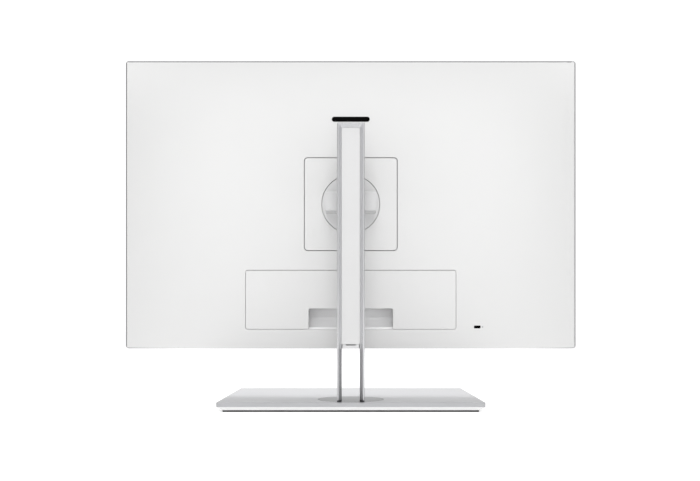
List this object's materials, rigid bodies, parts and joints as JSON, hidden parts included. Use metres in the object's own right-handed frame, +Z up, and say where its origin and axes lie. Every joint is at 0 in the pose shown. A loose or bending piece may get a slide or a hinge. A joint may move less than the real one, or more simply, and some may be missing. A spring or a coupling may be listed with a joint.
{
  "type": "all-in-one computer",
  "caption": "Flat desktop computer built into a wide display, with a rounded white back and a port cover, on a flat foot with a column that swivels, tilts, pivots and slides in height.",
  "frame": {"origin": "on the desk under the centre of the foot", "axes": "+Z up; the screen faces -Y and the rear cover +Y; +X is to the right of a viewer in front of the screen"},
  "size_m": [0.5427, 0.21, 0.41],
  "materials": {
    "white_plastic": "fine matt texture",
    "satin_aluminium": "satin, anodised",
    "grey_plastic": "satin moulded glass-filled plastic",
    "cast_metal": "die-cast, matt",
    "steel": "zinc-plated sheet and bar",
    "screw_steel": "blackened",
    "bearing_plastic": "smooth",
    "rubber": "matt",
    "black_plastic": "satin",
    "speaker_cloth": "tight woven mesh",
    "display_glass": "switched off, anti-glare",
    "white_film": "diffuser stack in a pressed pan",
    "light_guide": "milky, unlit",
    "circuit_board": "solder mask",
    "bright_metal": "bright plated",
    "copper": "bare copper",
    "fin_aluminium": "mill finish",
    "psu_case": "thin plated case, mostly air inside",
    "flex_cable": "flat ribbon"
  },
  "bodies": {
    "base": {"foot_shell": "satin_aluminium", "foot_tray": "white_plastic", "foot_ballast": "steel", "foot_pads": "rubber", "swivel_washer": "bearing_plastic"},
    "column": {"swivel_disc": "satin_aluminium", "swivel_retainer": "steel", "swivel_screws": "screw_steel", "column_frame": "satin_aluminium", "column_insert": "white_plastic", "column_front_plate": "white_plastic", "column_end_cap": "white_plastic", "column_gaskets": "rubber", "guide_rods": "steel", "lift_spring_ribbon": "steel"},
    "carriage": {"carriage": "cast_metal", "slide_bushes": "bearing_plastic", "drum_axle": "steel", "hinge_arm": "cast_metal", "arm_screws": "screw_steel", "friction_washers": "bearing_plastic"},
    "spring_drum": {"spring_drum": "steel"},
    "head": {"tilt_head": "grey_plastic", "tilt_axle": "steel", "pivot_retainer": "steel", "pivot_screws": "screw_steel"},
    "computer": {"mount_plate": "white_plastic", "rear_cover": "white_plastic", "rear_badge": "black_plastic", "lock_plate": "steel", "status_light": "light_guide", "port_bay": "white_plastic", "usb_sockets": "bright_metal", "display_sockets": "bright_metal", "network_socket": "bright_metal", "power_inlet": "black_plastic", "side_frame": "satin_aluminium", "front_bezel": "black_plastic", "speaker_grille": "speaker_cloth", "display_glass": "display_glass", "backlight_unit": "white_film", "camera_module": "circuit_board", "button_board": "circuit_board", "chassis_plate": "steel", "stand_bracket": "steel", "system_board": "circuit_board", "board_screws": "screw_steel", "memory_modules": "circuit_board", "cold_plate": "copper", "heat_pipe": "copper", "fin_stack": "fin_aluminium", "fan_housing": "black_plastic", "storage_drive": "fin_aluminium", "power_supply": "psu_case", "loudspeakers": "black_plastic", "display_cable": "flex_cable"},
    "fan": {"fan_impeller": "black_plastic"},
    "port_door": {"port_cover": "white_plastic"},
    "shutter": {"camera_shutter": "black_plastic"},
    "button": {"power_button": "black_plastic"}
  },
  "joints": [
    {"name": "swivel", "type": "hinge", "parent": "base", "child": "column", "pos_m": [0, 0.0605, 0.0102], "axis": [0, 0, 1], "range_deg": [-45, 45]},
    {"name": "height_slide", "type": "slide", "parent": "column", "child": "carriage", "axis": [0, 0, 1], "range_m": [-0.044, 0.056], "stiffness_N_per_m": 100, "springref_m": 0.62, "deforming": ["lift_spring_ribbon"]},
    {"name": "drum_turn", "type": "hinge", "parent": "carriage", "child": "spring_drum", "pos_m": [0, 0.071, 0.196], "axis": [1, 0, 0], "range_deg": [-400, 320]},
    {"name": "tilt", "type": "hinge", "parent": "carriage", "child": "head", "pos_m": [0, 0.031, 0.232], "axis": [1, 0, 0], "range_deg": [-20, 5]},
    {"name": "portrait_pivot", "type": "hinge", "parent": "head", "child": "computer", "pos_m": [0, 0.009, 0.232], "axis": [0, 1, 0], "range_deg": [-10, 10]},
    {"name": "port_cover_hinge", "type": "hinge", "parent": "computer", "child": "port_door", "pos_m": [0, 0.0118, 0.1534], "axis": [1, 0, 0], "range_deg": [0, 40]},
    {"name": "shutter_slide", "type": "slide", "parent": "computer", "child": "shutter", "axis": [-1, 0, 0], "range_m": [0, 0.005]},
    {"name": "power_press", "type": "slide", "parent": "computer", "child": "button", "axis": [-1, 0, 0], "range_m": [0, 0.001], "stiffness_N_per_m": 500, "springref_m": -0.001},
    {"name": "fan_spin", "type": "hinge", "parent": "computer", "child": "fan", "pos_m": [-0.16, -0.0165, 0.29], "axis": [0, 1, 0], "continuous": true}
  ],
  "couplings": [
    {"joint": "drum_turn", "follows": "height_slide", "rad_per_m": -121.95}
  ]
}
